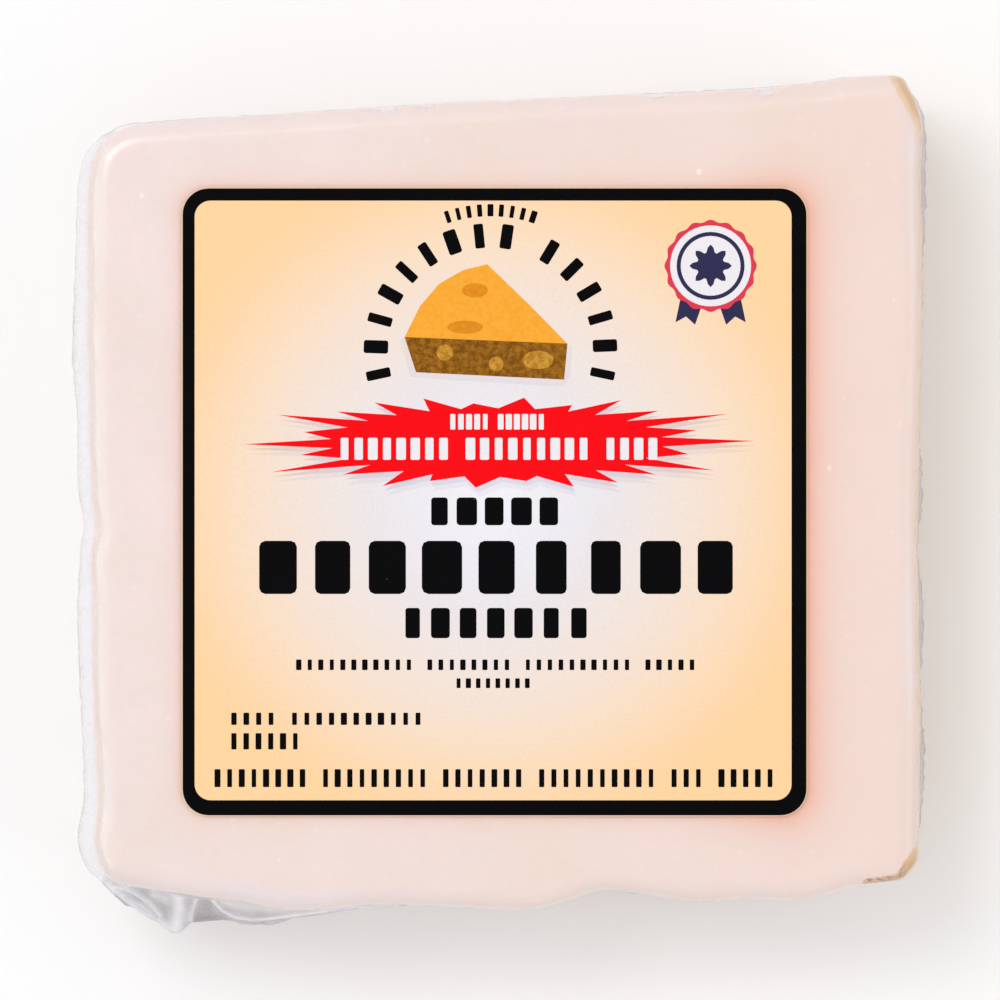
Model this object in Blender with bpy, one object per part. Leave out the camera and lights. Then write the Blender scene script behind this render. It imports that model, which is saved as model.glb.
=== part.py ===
"""A square chunk of aged parmesan, vacuum-packed in clear film, with a square paper label on its face.

Three solids, lying flat with the label up (+Z), in metres:
  cheese_block  the cut chunk with its film drawn tight over it: rounded edges, an uneven hand-cut
                outline and a gently uneven face
  film_margin   the loose rim of the pouch, where its two sheets are welded: a thin fold round the
                block that widens to a pleated ear at the front left corner
  label         a thin paper label with rounded corners, following the face under it
"""

import math

import bmesh
import bpy
from mathutils import Vector

MM = 0.001

# The block. Its face is wider than it is deep, and its thickness is the height it lies at.
BLOCK_THICKNESS = 28.5 * MM
HALF_WIDTH = 51.0 * MM
HALF_DEPTH = 49.5 * MM
FACE_EDGE_RADIUS = 2.3 * MM
BASE_EDGE_RADIUS = 2.6 * MM
BASE_INSET = 0.7 * MM  # how far the cut sides lean in, from the face down to the base
SIDE_WAVE = 0.2 * MM  # slow bulges of the cut sides, between face and base
FACE_WAVE = 0.22 * MM  # slow rise and fall of the face

# Where each side of the face departs from its straight line: (place along the side, how far out), in mm.
# Places run anticlockwise, and are x on the front and back, and y on the left and right.
RIGHT_RELIEF = [(-42, 0.4), (-25, 0.6), (-1, 0.3), (23, 0.9), (38, 0.7), (44.3, 0.9)]
BACK_RELIEF = [
    (48.3, 1.3), (43, 1.3), (38.5, 0.6), (30, -0.1), (12, -0.9), (-5, -1.7), (-24, -2.9), (-43, -4.2),
]
LEFT_RELIEF = [
    (38, -0.7), (16, -0.7), (1.5, -0.9), (-4, -1.5), (-8, -0.9), (-25, -1.3), (-37.5, -1.9), (-42, -1.4),
]
FRONT_RELIEF = [
    (-44.5, -1.2), (-37, 0.1), (-31.5, 0.5), (-27, 1.5), (-20.5, 1.5), (-13.5, 0.9), (3.3, 1.6), (7.6, 0.8),
    (12.5, -0.7), (17, -0.3), (24.7, 0.7), (30, 0.2), (37, 0.4), (40.6, -0.5), (43.8, -1.8), (47.3, -2.1),
]
# Points that shape the four corners, in mm: a long chamfer at the back right, and rounder ones elsewhere.
BACK_RIGHT_CORNER = [(51.6, 46.8), (50.3, 49.2)]
BACK_LEFT_CORNER = [(-46.9, 44.3), (-49.3, 42.0)]
FRONT_LEFT_CORNER = [(-49.1, -45.6), (-47.4, -47.7)]
FRONT_RIGHT_CORNER = [(49.9, -46.5), (51.0, -44.7)]

# The loose rim of the pouch. Rows go round it by direction from the block's middle, in degrees from +X:
# (direction, reach past the face's outline, height of its root, fall from root to edge), lengths in mm.
FILM_RIM = [
    (0, 0.7, 14.0, 0.4),
    (10, 0.3, 14.0, 0.2),
    (28, 0.3, 14.5, 0.2),
    (36, 0.7, 15.0, 0.4),
    (44, 0.4, 15.0, 0.2),
    (90, 0.2, 14.0, 0.2),
    (135, 0.3, 14.5, 0.3),
    (145, 1.4, 16.0, 0.6),
    (162, 2.0, 17.0, 1.0),
    (170, 1.4, 17.0, 0.8),
    (180, 1.5, 17.0, 0.8),
    (188, 1.2, 17.0, 0.8),
    (197, 1.7, 17.0, 1.0),
    (212, 1.6, 17.0, 1.0),
    (218, 1.8, 17.0, 1.0),
    (222, 1.5, 17.5, 1.2),
    (224.5, 0.9, 19.0, 2.0),
    (227.4, 2.2, 20.0, 4.0),
    (229.5, 3.4, 20.5, 5.5),
    (231.7, 4.6, 21.0, 6.5),
    (233.3, 2.8, 21.0, 5.5),
    (235.8, 2.4, 21.0, 5.0),
    (238.2, 2.9, 21.0, 5.5),
    (241, 2.2, 20.5, 5.0),
    (244.8, 0.9, 18.5, 3.0),
    (250, 0.4, 16.0, 1.0),
    (258, 0.2, 14.0, 0.3),
    (290, 0.2, 14.0, 0.2),
    (318, 0.2, 14.0, 0.2),
    (327, 0.7, 14.5, 0.4),
    (335, 0.3, 14.0, 0.2),
    (344, 0.7, 14.0, 0.4),
    (352, 0.3, 14.0, 0.2),
]
FILM_ROOT_THICKNESS = 0.6 * MM
FILM_EDGE_THICKNESS = 0.4 * MM
PLEAT_PITCHES = (9.1 * MM, 5.3 * MM)
PLEAT_SHARE = 0.12  # height of a pleat as a share of the rim's width there
CLEARANCE = 0.3 * MM

# The label, set on the face a little to the front of its middle.
LABEL_SIDE = 76.2 * MM
LABEL_CORNER_RADIUS = 3.3 * MM
LABEL_THICKNESS = 0.2 * MM
LABEL_CENTRE = (-0.5 * MM, -1.2 * MM)

BLOCK_STEPS = 192  # points round the block
RIM_STEPS = 320  # points round the film's rim
CORNER_STEPS = 6  # points round each corner of the label
STRAIGHT_STEPS = 6  # points along each straight side of the label
OUTLINE_STEPS = 960  # points of the fine outline that the others are read from
SMOOTHING_STEPS = 15  # points each way that the base's smoother outline is averaged over

CHEESE_COLOUR = (0.86, 0.70, 0.60)
FILM_COLOUR = (0.85, 0.85, 0.88)
LABEL_COLOUR = (0.98, 0.76, 0.50)


# ---------------------------------------------------------------- outline of the face


def face_knots():
    """Points round the face, anticlockwise from the right side."""
    knots = [Vector((HALF_WIDTH + out * MM, place * MM)) for place, out in RIGHT_RELIEF]
    knots += [Vector((x * MM, y * MM)) for x, y in BACK_RIGHT_CORNER]
    knots += [Vector((place * MM, HALF_DEPTH + out * MM)) for place, out in BACK_RELIEF]
    knots += [Vector((x * MM, y * MM)) for x, y in BACK_LEFT_CORNER]
    knots += [Vector((-HALF_WIDTH - out * MM, place * MM)) for place, out in LEFT_RELIEF]
    knots += [Vector((x * MM, y * MM)) for x, y in FRONT_LEFT_CORNER]
    knots += [Vector((place * MM, -HALF_DEPTH - out * MM)) for place, out in FRONT_RELIEF]
    knots += [Vector((x * MM, y * MM)) for x, y in FRONT_RIGHT_CORNER]
    return knots


def rounded_curve(knots, steps):
    """A closed Catmull-Rom curve through the knots, as evenly spaced points."""
    fine = []
    count = len(knots)
    per_span = 24
    for i in range(count):
        a, b, c, d = (knots[(i + k) % count] for k in (-1, 0, 1, 2))
        for k in range(per_span):
            t = k / per_span
            bend = (c - a) * t + (2 * a - 5 * b + 4 * c - d) * t * t + (3 * (b - c) + d - a) * t**3
            fine.append(b + bend * 0.5)
    lengths = [0.0]
    for i, point in enumerate(fine):
        lengths.append(lengths[-1] + (fine[(i + 1) % len(fine)] - point).length)
    even = []
    at = 0
    for k in range(steps):
        wanted = lengths[-1] * k / steps
        while lengths[at + 1] < wanted:
            at += 1
        share = (wanted - lengths[at]) / (lengths[at + 1] - lengths[at])
        even.append(fine[at].lerp(fine[(at + 1) % len(fine)], share))
    return even


def smoothed(outline, reach):
    """The outline averaged over some points each way: small waves go, and corners grow rounder."""
    count = len(outline)
    smooth = []
    for i in range(count):
        stretch = [outline[(i + k) % count] for k in range(-reach, reach + 1)]
        smooth.append(sum(stretch, Vector((0.0, 0.0))) / len(stretch))
    return smooth


FACE_OUTLINE = rounded_curve(face_knots(), OUTLINE_STEPS)
BASE_OUTLINE = smoothed(FACE_OUTLINE, SMOOTHING_STEPS)


def outward(index, reach=10):
    """Unit normal of the face's outline, taken over a stretch so that small waves don't turn it."""
    ahead = FACE_OUTLINE[(index + reach) % OUTLINE_STEPS]
    behind = FACE_OUTLINE[(index - reach) % OUTLINE_STEPS]
    along = (ahead - behind).normalized()
    return Vector((along.y, -along.x))


def ease(t):
    """A smooth start and stop from 0 to 1."""
    t = min(max(t, 0.0), 1.0)
    return t * t * (3 - 2 * t)


def outline_index(turn):
    """The fine outline's point at this share of the way round."""
    return round(turn * OUTLINE_STEPS) % OUTLINE_STEPS


def side_point(turn, height):
    """Where the block's side stands, at this share of the way round and this height."""
    index = outline_index(turn)
    share = height / BLOCK_THICKNESS
    point = BASE_OUTLINE[index].lerp(FACE_OUTLINE[index], ease(share))
    wave = SIDE_WAVE * math.sin(2 * math.pi * (7 * turn + 0.4)) * math.sin(math.pi * share)
    return point + outward(index) * (wave - BASE_INSET * (1 - share))


def face_height(x, y):
    """Height of the face: a slow rise and fall about the block's thickness."""
    along = math.sin(x / (17 * MM) + 0.6) * math.cos(y / (21 * MM) - 0.4)
    across = math.cos((x + y) / (33 * MM))
    return BLOCK_THICKNESS + FACE_WAVE * (0.6 * along + 0.4 * across)


# ---------------------------------------------------------------- making meshes


def lofted(name, rings, colour, roughness, tube=False):
    """An object whose skin runs from ring to ring. A tube's last ring joins its first, round a hole;
    otherwise each end is a single point, or a flat ring that is filled."""
    shape = bmesh.new()
    loops = [[shape.verts.new(point) for point in ring] for ring in rings]
    following = loops[1:] + loops[:1] if tube else loops[1:]
    for low, high in zip(loops, following):
        steps = max(len(low), len(high))
        for i in range(steps):
            j = (i + 1) % steps
            corners = (low[i % len(low)], low[j % len(low)], high[j % len(high)], high[i % len(high)])
            shape.faces.new(dict.fromkeys(corners))
    if not tube and len(loops[0]) > 1:
        shape.faces.new(loops[0])
    bmesh.ops.recalc_face_normals(shape, faces=shape.faces)
    mesh = bpy.data.meshes.new(name)
    shape.to_mesh(mesh)
    shape.free()
    mesh.shade_smooth()
    mesh.set_sharp_from_angle(angle=math.radians(50))
    mesh.materials.append(plain_material(name, colour, roughness))
    piece = bpy.data.objects.new(name, mesh)
    bpy.context.scene.collection.objects.link(piece)
    return piece


def plain_material(name, colour, roughness):
    material = bpy.data.materials.new(name)
    material.use_nodes = True
    shader = material.node_tree.nodes["Principled BSDF"]
    shader.inputs["Base Color"].default_value = (*colour, 1.0)
    shader.inputs["Roughness"].default_value = roughness
    shader.inputs["Metallic"].default_value = 0.0
    return material


# ---------------------------------------------------------------- the three solids


def block_ring(height, inset):
    """One level ring of the block, drawn in from its side by inset."""
    ring = []
    for k in range(BLOCK_STEPS):
        turn = k / BLOCK_STEPS
        point = side_point(turn, height) - outward(outline_index(turn)) * inset
        ring.append(Vector((point.x, point.y, height)))
    return ring


def lifted(ring, drop):
    """The same ring set this far under the uneven face."""
    return [Vector((p.x, p.y, face_height(p.x, p.y) - drop)) for p in ring]


def cheese_block():
    """Rings from the flat base up: its rounded edge, the sides, the face's rounded edge, and the face."""
    quarter = math.pi / 2
    rings = []
    base_angles = (0.0, 0.5, 1.0)
    for share in base_angles:
        angle = share * quarter
        height = BASE_EDGE_RADIUS * (1 - math.cos(angle))
        inset = BASE_EDGE_RADIUS * (1 - math.sin(angle))
        rings.append(block_ring(height, inset))
    side_levels = (0.3, 0.55, 0.8)
    for share in side_levels:
        rings.append(block_ring(BLOCK_THICKNESS * share, 0.0))
    face_angles = (0.0, 0.35, 0.7, 1.0)
    for share in face_angles:
        angle = share * quarter
        drop = FACE_EDGE_RADIUS * (1 - math.sin(angle))
        inset = FACE_EDGE_RADIUS * (1 - math.cos(angle))
        rings.append(lifted(block_ring(BLOCK_THICKNESS - drop, inset), drop))
    rim = rings[-1]
    face_shares = (0.84, 0.6, 0.3)
    for share in face_shares:
        rings.append(lifted([p * share for p in rim], 0.0))
    rings.append([Vector((0, 0, face_height(0, 0)))])
    return lofted("cheese_block", rings, CHEESE_COLOUR, roughness=0.45)


def rim_at(direction):
    """Reach, root height and fall of the film's rim in this direction, eased between its rows."""
    for k, row in enumerate(FILM_RIM):
        following = FILM_RIM[(k + 1) % len(FILM_RIM)]
        span = (following[0] - row[0]) % 360
        ahead = (direction - row[0]) % 360
        if ahead < span:
            share = ease(ahead / span)
            return [(a + (b - a) * share) * MM for a, b in zip(row[1:], following[1:])]
    return [value * MM for value in FILM_RIM[0][1:]]


def film_margin():
    """A thin closed band round the block: its under side outwards, then its upper side back."""
    stations = (0.0, 0.5, 1.0)
    rings = [[] for _ in range(2 * len(stations))]
    travelled = 0.0
    before = FACE_OUTLINE[0]
    for k in range(RIM_STEPS):
        turn = k / RIM_STEPS
        index = outline_index(turn)
        place = FACE_OUTLINE[index]
        travelled += (place - before).length
        before = place
        reach, root_height, fall = rim_at(math.degrees(math.atan2(place.y, place.x)))
        root = side_point(turn, root_height) + outward(index, SMOOTHING_STEPS) * CLEARANCE
        edge = place + outward(index, SMOOTHING_STEPS) * reach
        width = (edge - root).length
        wave = sum(math.sin(2 * math.pi * travelled / pitch) for pitch in PLEAT_PITCHES)
        for j, share in enumerate(stations):
            at = root.lerp(edge, share)
            level = root_height + (wave * width * PLEAT_SHARE - fall) * share
            half = (FILM_ROOT_THICKNESS * (1 - share) + FILM_EDGE_THICKNESS * share) / 2
            rings[j].append(Vector((at.x, at.y, level - half)))
            rings[-1 - j].append(Vector((at.x, at.y, level + half)))
    return lofted("film_margin", rings, FILM_COLOUR, roughness=0.15, tube=True)


def rounded_square(half, radius):
    """Points round a rounded square, anticlockwise: an arc at each corner, and points along each side."""
    inner = half - radius
    arcs = []
    for c, (sx, sy) in enumerate(((1, 1), (-1, 1), (-1, -1), (1, -1))):
        centre = Vector((sx * inner, sy * inner))
        angles = [(c + k / CORNER_STEPS) * math.pi / 2 for k in range(CORNER_STEPS + 1)]
        arcs.append([centre + radius * Vector((math.cos(a), math.sin(a))) for a in angles])
    ring = []
    for arc, following in zip(arcs, arcs[1:] + arcs[:1]):
        ring += arc
        ring += [arc[-1].lerp(following[0], k / STRAIGHT_STEPS) for k in range(1, STRAIGHT_STEPS)]
    return ring


def label_ring(share, lift):
    """The label's outline at this share of its full size, lifted this far off the face."""
    ring = []
    for point in rounded_square(LABEL_SIDE / 2, LABEL_CORNER_RADIUS):
        x = LABEL_CENTRE[0] + point.x * share
        y = LABEL_CENTRE[1] + point.y * share
        ring.append(Vector((x, y, face_height(x, y) + lift)))
    return ring


def label():
    """A thin sheet: its under side from the middle outwards, then its upper side back to the middle."""
    under = CLEARANCE
    over = CLEARANCE + LABEL_THICKNESS
    middle = face_height(*LABEL_CENTRE)
    shares = (0.5, 1.0)
    rings = [[Vector((*LABEL_CENTRE, middle + under))]]
    rings += [label_ring(share, under) for share in shares]
    rings += [label_ring(share, over) for share in reversed(shares)]
    rings.append([Vector((*LABEL_CENTRE, middle + over))])
    return lofted("label", rings, LABEL_COLOUR, roughness=0.5)


def centre_on_origin(pieces):
    """Moves the pieces together, so that the middle of their common box stands over the origin."""
    corners = [v.co for piece in pieces for v in piece.data.vertices]
    middle_x = (min(c.x for c in corners) + max(c.x for c in corners)) / 2
    middle_y = (min(c.y for c in corners) + max(c.y for c in corners)) / 2
    for piece in pieces:
        piece.location = (-middle_x, -middle_y, 0.0)


for old in list(bpy.data.objects):
    bpy.data.objects.remove(old, do_unlink=True)
centre_on_origin([cheese_block(), film_margin(), label()])
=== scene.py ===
"""The looks of a square block of parmesan, vacuum-packed in clear film, with a printed paper label.

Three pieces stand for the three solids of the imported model:
  cheese  the block, as pale cheese with a tan rind on its right side
  film    the clear pouch: tight over the block, with its welded edge, gathers and a loose ear
  sheet   the paper label, with its printed fields as areas of the mesh
"""

import math
import random

import bpy
import numpy as np
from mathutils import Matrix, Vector, noise
from mathutils.bvhtree import BVHTree
from mathutils.geometry import delaunay_2d_cdt


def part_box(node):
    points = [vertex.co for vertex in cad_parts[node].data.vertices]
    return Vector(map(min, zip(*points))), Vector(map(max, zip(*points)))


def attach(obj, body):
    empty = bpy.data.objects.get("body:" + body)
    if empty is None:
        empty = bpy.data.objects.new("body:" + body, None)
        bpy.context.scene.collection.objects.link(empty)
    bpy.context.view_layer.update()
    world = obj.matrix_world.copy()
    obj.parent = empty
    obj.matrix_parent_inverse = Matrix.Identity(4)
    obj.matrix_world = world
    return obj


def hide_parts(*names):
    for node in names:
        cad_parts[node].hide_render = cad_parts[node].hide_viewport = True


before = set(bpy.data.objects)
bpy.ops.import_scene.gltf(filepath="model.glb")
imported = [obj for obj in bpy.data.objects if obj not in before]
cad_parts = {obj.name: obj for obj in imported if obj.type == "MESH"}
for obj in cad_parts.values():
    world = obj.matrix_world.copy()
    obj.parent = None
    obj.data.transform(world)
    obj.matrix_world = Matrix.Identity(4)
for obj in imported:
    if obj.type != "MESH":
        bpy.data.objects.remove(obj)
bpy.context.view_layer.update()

MM = 0.001

# The skins are grids of loops round the block, from the middle of its base to the middle of its face.
CHEESE_ROUND = 720  # points on each loop
FILM_ROUND = 960
EDGE_ZONE = 4.0 * MM  # the band beside each edge that is measured by angle, round the edge
OUTLINE_DEPTH = 3.2 * MM  # how far under the face the outline is taken
OUTLINE_FINE = 2400  # points it is first read at
OUTLINE_BLUR = 0.45 * MM
OUTWARD_REACH = 1.4 * MM  # its directions are taken between points this far to both sides
INNER_BLUR = 2.6 * MM  # the loop that the edges and faces run out from is smoother
CHEESE_INSET = 0.08 * MM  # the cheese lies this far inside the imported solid, under its film
FILM_LIFT = 0.03 * MM  # the tight film lies this far outside it

# The label's sheet
LABEL_LIFT = 0.10 * MM
LABEL_THICKNESS = 0.14 * MM
LABEL_CORNER = 3.3 * MM
LABEL_GRID = 2.5 * MM
# That grid keeps this far inside the border, and to corners that are rounded from here by this much, in mm.
LABEL_GRID_MARGIN = 0.6
LABEL_GRID_CORNER = 35.0
LABEL_GRID_ROUND = 2.2

# The camera looks straight down, from far enough that the sides stay hidden.
LENS = 900.0
SENSOR = 36.0
VIEW_WIDTH = 122.2 * MM
VIEW_MIDDLE = (0.10 * MM, 0.24 * MM)

LIGHTS = (  # name, place, size, power, colour
    ("key", (-0.62, 0.62, 1.75), 0.8, 9.5, (1, 1, 1)),
    ("side", (1.2, -0.2, 0.8), 0.9, 2.2, (0.95, 0.97, 1.0)),
)
WORLD_STRENGTH = 0.80
FLOOR_HALF = 3.0
FLOOR_DROP = 0.05 * MM

RIGHT, LEFT, BACK, FRONT = (1, 0), (-1, 0), (0, 1), (0, -1)  # the block's sides, in the plan
ALONG_CUT = np.array([1.0, 1.0, 2.4])  # the sides' unevenness is drawn out along the cut


# ---- numbers on loops and grids


def blurred(values, reach):
    """Values round a closed loop, averaged with their neighbours over about this many steps."""
    count = len(values)
    steps = np.minimum(np.arange(count), count - np.arange(count))
    kernel = np.exp(-0.5 * (steps / reach) ** 2)
    kernel = np.fft.rfft(kernel / kernel.sum())
    spectrum = np.fft.rfft(values, axis=0)
    kernel = kernel.reshape((-1,) + (1,) * (values.ndim - 1))
    return np.fft.irfft(spectrum * kernel, count, axis=0)


def evened(points, count):
    """Evenly spaced points along a closed loop, and the length along it to each."""
    closed = np.vstack([points, points[:1]])
    lengths = np.concatenate([[0.0], np.cumsum(np.linalg.norm(np.diff(closed, axis=0), axis=1))])
    places = np.linspace(0.0, lengths[-1], count, endpoint=False)
    return np.stack([np.interp(places, lengths, closed[:, k]) for k in range(2)], axis=1), places


def unit(vectors):
    return vectors / np.linalg.norm(vectors, axis=-1, keepdims=True)


def smooth_step(low, high, values):
    """0 up to low and 1 from high on, eased between them; low may be the greater."""
    t = np.clip((values - low) / (high - low), 0.0, 1.0)
    return t * t * (3 - 2 * t)


def hump(values, spread):
    """1 where the values are 0, and falling to 0 over about the spread to both sides."""
    return np.exp(-((values / spread) ** 2))


def lumps(points, size, seed):
    """Smooth noise from -1 to 1 over these points, with lumps of about this size in mm."""
    shift = Vector((seed * 7.31, seed * 3.17, seed * 5.53))
    flat = points.reshape(-1, 3) / (size * MM)
    return np.array([noise.noise(Vector(p) + shift) for p in flat]).reshape(points.shape[:-1])


def graded(total, first, growth):
    """Distances from 0 to total, by steps that start at first and grow."""
    places = [0.0]
    step = first
    while places[-1] + step < total:
        places.append(places[-1] + step)
        step *= growth
    return places


def distance_to_line(x, y, line):
    """Distance in the plan from each (x, y) to a line of points."""
    best = np.full(x.shape, 1e9)
    for (ax, ay), (bx, by) in zip(line, line[1:]):
        dx, dy = bx - ax, by - ay
        t = np.clip(((x - ax) * dx + (y - ay) * dy) / (dx * dx + dy * dy), 0.0, 1.0)
        best = np.minimum(best, np.hypot(x - ax - t * dx, y - ay - t * dy))
    return best


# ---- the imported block, read from the frame


def tree_of(node):
    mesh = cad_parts[node].data
    return BVHTree.FromPolygons([v.co for v in mesh.vertices], [p.vertices for p in mesh.polygons])


def vertices_of(node):
    return np.array([v.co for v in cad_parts[node].data.vertices])


BLOCK = tree_of("cheese_block")
BLOCK_LOW, BLOCK_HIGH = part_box("cheese_block")
LABEL_LOW, LABEL_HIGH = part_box("label")
LABEL_MIDDLE = (LABEL_LOW + LABEL_HIGH) / 2
LABEL_HALF = (LABEL_HIGH.x - LABEL_LOW.x) / 2


def hits(origins, directions):
    """Where rays from inside the block meet its skin."""
    return np.array([BLOCK.ray_cast(Vector(o), Vector(d))[0] for o, d in zip(origins, directions)])


def face_height(x, y):
    """Height of the block's face over this point."""
    return BLOCK.ray_cast(Vector((x, y, BLOCK_HIGH.z + 0.01)), Vector((0, 0, -1)))[0].z


class Outline:
    """The block's outline just under its face: even points, outward normals and the way round to each."""

    def __init__(self, count):
        angles = np.linspace(0.0, 2 * math.pi, OUTLINE_FINE, endpoint=False)
        directions = np.stack([np.cos(angles), np.sin(angles), 0 * angles], axis=1)
        origins = np.zeros_like(directions)
        origins[:, 2] = BLOCK_HIGH.z - OUTLINE_DEPTH
        points, _ = evened(hits(origins, directions)[:, :2], OUTLINE_FINE)
        step = np.linalg.norm(points[1] - points[0])
        points, _ = evened(blurred(points, OUTLINE_BLUR / step), OUTLINE_FINE)
        self.points, self.way = evened(points, count)
        step = self.way[1]
        self.length = step * count
        reach = round(OUTWARD_REACH / step)
        along = unit(np.roll(self.points, -reach, axis=0) - np.roll(self.points, reach, axis=0))
        self.set_directions(along)
        # The loops of the edges and faces run out from this one, smooth enough that they don't cross.
        self.inner = blurred(self.points - self.out * EDGE_ZONE, INNER_BLUR / step)
        self.spokes = unit(self.points - self.inner)

    def set_directions(self, along):
        self.along = along
        self.out = np.stack([along[:, 1], -along[:, 0]], axis=1)

    def denser(self, density):
        """The same outline with its points this many times closer at the pouch's ear, and further apart
        elsewhere; and a function that takes a loop of values from the even points to these."""
        x, y = self.points.T
        at_ear = smooth_step(-6 * MM, -12 * MM, x) * smooth_step(-42 * MM, -45 * MM, y)
        weights = np.concatenate([[0.0], np.cumsum(1 + (density - 1) * at_ear)])
        count = len(self.points)
        ways = np.append(self.way, self.length)
        places = np.interp(np.linspace(0.0, weights[-1], count, endpoint=False), weights, ways)

        def respaced(loop):
            columns = [np.interp(places, self.way, column, period=self.length) for column in loop.T]
            return np.stack(columns, axis=-1)

        dense = Outline.__new__(Outline)
        dense.points, dense.way, dense.length = respaced(self.points), places, self.length
        dense.set_directions(unit(respaced(self.along)))
        return dense, respaced

    def facing(self, side, low=0.6, high=0.85):
        """1 where the outline faces this side, and 0 where it is turned well away."""
        return smooth_step(low, high, self.out @ np.array(side, dtype=float))

    def away(self, x, y):
        """Distance of each point from this place in the plan, in mm."""
        return np.hypot(self.points[:, 0] / MM - x, self.points[:, 1] / MM - y)

    def raised(self, xy, z):
        """Points of the plan at this height."""
        return np.column_stack([xy, np.broadcast_to(z, len(xy))])

    def edge_loop(self, middle_z, degrees):
        """Where the skin is met at this angle from the level, seen from inside the edge."""
        angle = math.radians(degrees)
        origins = self.raised(self.inner, middle_z)
        return hits(origins, self.raised(self.spokes * math.cos(angle), math.sin(angle)))

    def side_loop(self, z):
        """The side at this height."""
        origins = self.raised(self.points - self.out * 3 * EDGE_ZONE, z)
        return hits(origins, self.raised(self.out, 0.0))

    def base_loop(self, share):
        return self.raised(self.inner * share, BLOCK_LOW.z)

    def face_loop(self, share):
        xy = self.inner * share
        return self.raised(xy, np.array([face_height(x, y) for x, y in xy]))

    def lower_loops(self, inmost, shares, angles):
        """Loops over the base, from the inmost share of the way out, and round its edge."""
        loops = [self.base_loop(share) for share in np.linspace(inmost, 1.0, shares)]
        return loops + [self.edge_loop(LOW_EDGE_Z, degrees) for degrees in np.linspace(-80, 0, angles)]

    def upper_loops(self, angles):
        """Loops round the face's edge and over the face."""
        loops = [self.edge_loop(HIGH_EDGE_Z, degrees) for degrees in np.linspace(0, 84, angles)]
        return loops + [self.face_loop(share) for share in FACE_SHARES]


def normals_of(grid):
    """Outward normals of a grid of loops."""
    across = np.roll(grid, -1, axis=1) - np.roll(grid, 1, axis=1)
    upward = np.gradient(grid, axis=0)
    return unit(np.cross(across, upward))


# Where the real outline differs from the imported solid's: (x, y, shift in x, shift in y, spread), in mm.
SHIFTED_CORNERS = [
    (48.4, 51.4, 0.55, 0.32, 1.3), (50.8, 48.0, -0.10, 0.0, 1.6), (50.6, 49.4, 0.15, 0.0, 0.9),
    (50.0, -45.3, 0.60, -0.50, 2.6), (50.5, -45.2, -0.42, 0.32, 1.2), (45.0, -46.8, 0.0, -0.40, 3.4),
]


def filled_out(grid, outline):
    """The grid with its corners drawn out, from mid-height up and near the edge of the face."""
    shift = np.zeros_like(outline.points)
    for x, y, shift_x, shift_y, spread in SHIFTED_CORNERS:
        shift += hump(outline.away(x, y), spread)[:, None] * np.array([shift_x, shift_y])
    height = smooth_step(3 * MM, 18 * MM, grid[..., 2])
    inward = 1 - smooth_step(1 * MM, 14 * MM, inside_edge(grid, outline))
    moved = grid.copy()
    moved[..., :2] += shift * MM * (height * inward)[..., None]
    return moved


def inside_edge(grid, outline):
    """How far each point lies in from the block's outline, in the plan."""
    return -np.sum((grid[..., :2] - outline.points) * outline.out, axis=-1)


def sideways(normals):
    """1 on the block's sides and 0 on its base and face."""
    return 1 - smooth_step(0.25, 0.8, np.abs(normals[..., 2]))


def relief(grid, normals):
    """Slow unevenness that the cheese and the film over it share: how far out each point stands."""
    face = 0.08 * MM * lumps(grid, 13, 1) + 0.02 * MM * lumps(grid, 4, 2)
    return face + 0.11 * MM * sideways(normals) * lumps(grid * ALONG_CUT, 6, 4)


LOW_EDGE_Z = BLOCK_LOW.z + EDGE_ZONE
HIGH_EDGE_Z = BLOCK_HIGH.z - EDGE_ZONE
RIM_TO_MIDDLE = (BLOCK_HIGH.x - BLOCK_LOW.x) / 2 - EDGE_ZONE
# The face's loops, each by its share of the way from the middle out; the cheese and its film use the same.
FACE_SHARES = [1 - depth / RIM_TO_MIDDLE for depth in graded(RIM_TO_MIDDLE - 1 * MM, 0.7 * MM, 1.06)]


# ---- meshes


def grid_piece(name, grid, material, **attributes):
    """A closed piece whose skin runs through the loops of a grid, with numbers kept at its points."""
    stations, around = grid.shape[:2]
    ends = np.array([grid[0].mean(axis=0), grid[-1].mean(axis=0)])
    points = np.vstack([grid.reshape(-1, 3), ends])
    first, last = len(points) - 2, len(points) - 1
    i = np.arange(around)
    j = (i + 1) % around
    faces = []
    for s in range(stations - 1):
        low, high = s * around, (s + 1) * around
        faces += np.column_stack([low + i, low + j, high + j, high + i]).tolist()
    top = (stations - 1) * around
    faces += np.column_stack([j, i, np.full(around, first)]).tolist()
    faces += np.column_stack([top + i, top + j, np.full(around, last)]).tolist()
    mesh = bpy.data.meshes.new(name)
    mesh.from_pydata(points.tolist(), [], faces)
    for key, values in attributes.items():
        full = np.concatenate([values.ravel(), [values[0].mean(), values[-1].mean()]])
        mesh.attributes.new(key, "FLOAT", "POINT").data.foreach_set("value", full.astype(np.float32))
    mesh.shade_smooth()
    return placed(name, mesh, material)


def placed(name, mesh, *materials):
    for material in materials:
        mesh.materials.append(material)
    piece = bpy.data.objects.new(name, mesh)
    bpy.context.scene.collection.objects.link(piece)
    return piece


# ---- materials


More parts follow.
